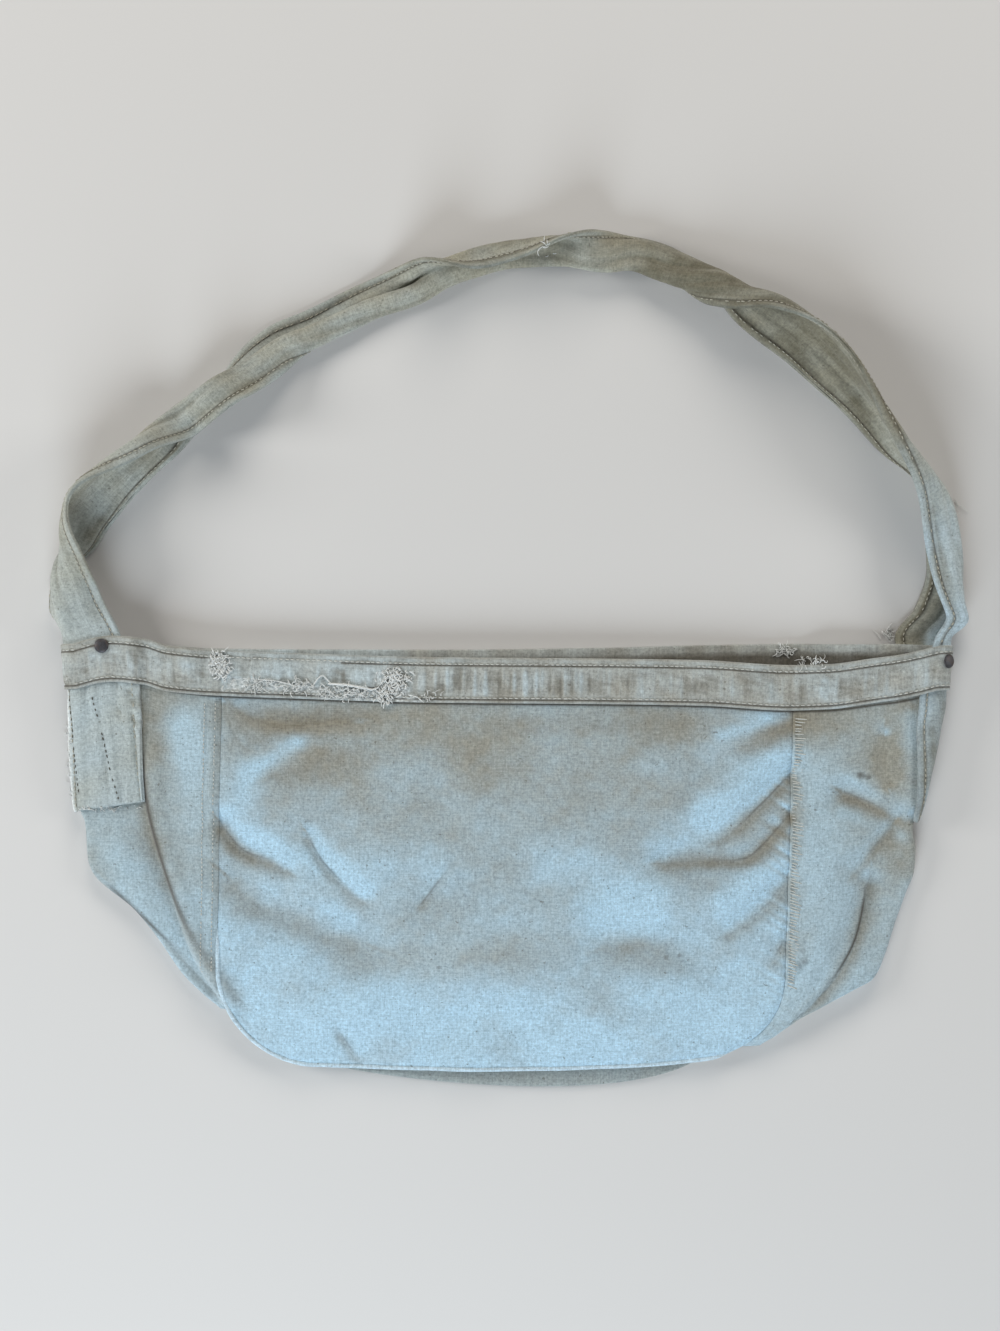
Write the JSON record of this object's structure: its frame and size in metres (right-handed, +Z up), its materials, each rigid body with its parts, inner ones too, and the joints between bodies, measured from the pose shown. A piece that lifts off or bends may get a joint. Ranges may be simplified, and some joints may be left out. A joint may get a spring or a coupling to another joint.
{
  "type": "newspaper delivery bag",
  "caption": "Worn canvas newspaper carrier's bag lying flat, with hemmed open mouth, side gussets folded outward and a wide shoulder strap laid out in loose folds.",
  "frame": {"origin": "middle of the bag's and strap's outline, on the floor that the bag lies on", "axes": "+Z up from the floor, +Y from the bottom of the bag towards the strap, +X to the right as the bag is seen from above"},
  "size_m": [0.6955, 0.6426, 0.0504],
  "materials": {
    "canvas_front": "washed-out plain weave canvas, pale at the bottom and tan near the mouth",
    "canvas_back": "khaki plain weave canvas",
    "canvas_gusset": "washed-out canvas with dirt along its creases",
    "band_cloth": "hemmed canvas, grimy, frayed along its lower edge",
    "strap_cloth": "doubled khaki canvas, worn pale along its edges",
    "rivet_iron": "dark, dull iron"
  },
  "bodies": {
    "root": {"front_panel": "canvas_front", "back_panel": "canvas_back", "gusset_left": "canvas_gusset", "gusset_right": "canvas_gusset", "gusset_bottom": "canvas_gusset", "mouth_band": "band_cloth", "shoulder_strap": "strap_cloth", "rivet_left": "rivet_iron", "rivet_right_front": "rivet_iron", "rivet_right_back": "rivet_iron"}
  },
  "joints": []
}
